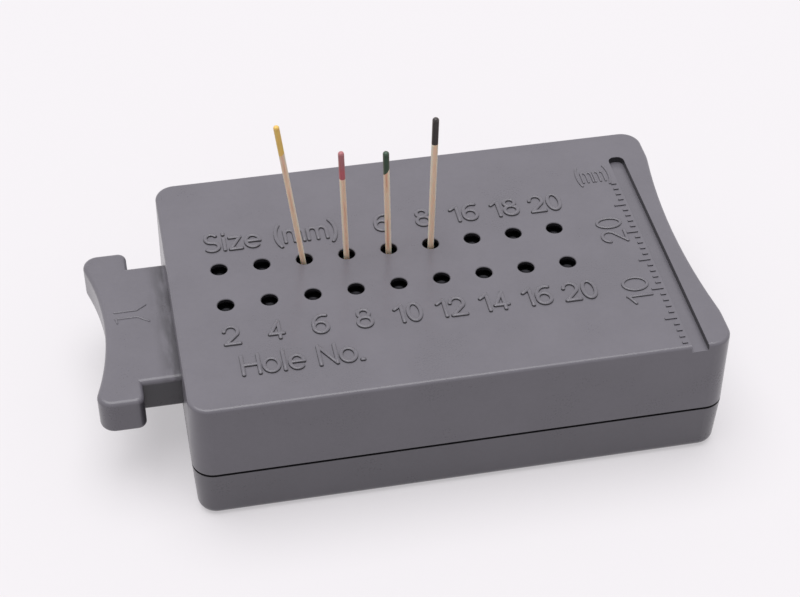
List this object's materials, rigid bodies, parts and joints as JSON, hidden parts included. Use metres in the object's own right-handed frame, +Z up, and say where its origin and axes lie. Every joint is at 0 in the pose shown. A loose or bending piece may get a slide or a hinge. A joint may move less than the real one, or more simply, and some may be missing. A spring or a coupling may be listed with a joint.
{
  "type": "point gauge with ruler",
  "caption": "Palm-sized gauge for tapered dental points, with rows of holes, a millimetre ruler along one end and a sprung T-handle that slides a trimming blade.",
  "frame": {"origin": "middle of the base's flat bottom face, halfway along and across the casing", "axes": "+X towards the ruler end, away from the T-handle; +Y to the rear; +Z up out of the gauge holes"},
  "size_m": [0.0693, 0.0386, 0.0358],
  "materials": {
    "shell_grey": "satin moulded grey with a slight violet cast",
    "carriage_grey": "plain moulded dark grey",
    "plate_steel": "ground stainless sheet",
    "screw_steel": "plain bright steel",
    "spring_steel": "drawn spring wire",
    "point_yellow": "tan point with a yellow dipped head",
    "point_red": "pinkish tan point with a red dipped head",
    "point_green": "pinkish tan point with a green dipped head",
    "point_black": "pinkish tan point with a black dipped head"
  },
  "bodies": {
    "casing": {"upper_housing": "shell_grey", "base_shell": "shell_grey", "gauge_plate": "plate_steel", "guide_rail_front": "carriage_grey", "guide_rail_rear": "carriage_grey", "rail_screws": "screw_steel", "cover_screws": "screw_steel", "spring_pin_front": "screw_steel", "spring_pin_rear": "screw_steel", "return_spring_front": "spring_steel", "return_spring_rear": "spring_steel", "point_yellow": "point_yellow", "point_red": "point_red", "point_green": "point_green", "point_black": "point_black"},
    "cutter_slide": {"push_handle": "shell_grey", "blade_carriage": "carriage_grey", "blade_plate": "plate_steel", "blade_screws": "screw_steel", "handle_screws": "screw_steel"}
  },
  "joints": [
    {"name": "handle_slide", "type": "slide", "parent": "casing", "child": "cutter_slide", "axis": [1, 0, 0], "range_m": [0, 0.0038], "stiffness_N_per_m": 820, "springref_m": -0.004, "deforming": ["return_spring_front", "return_spring_rear"]}
  ]
}
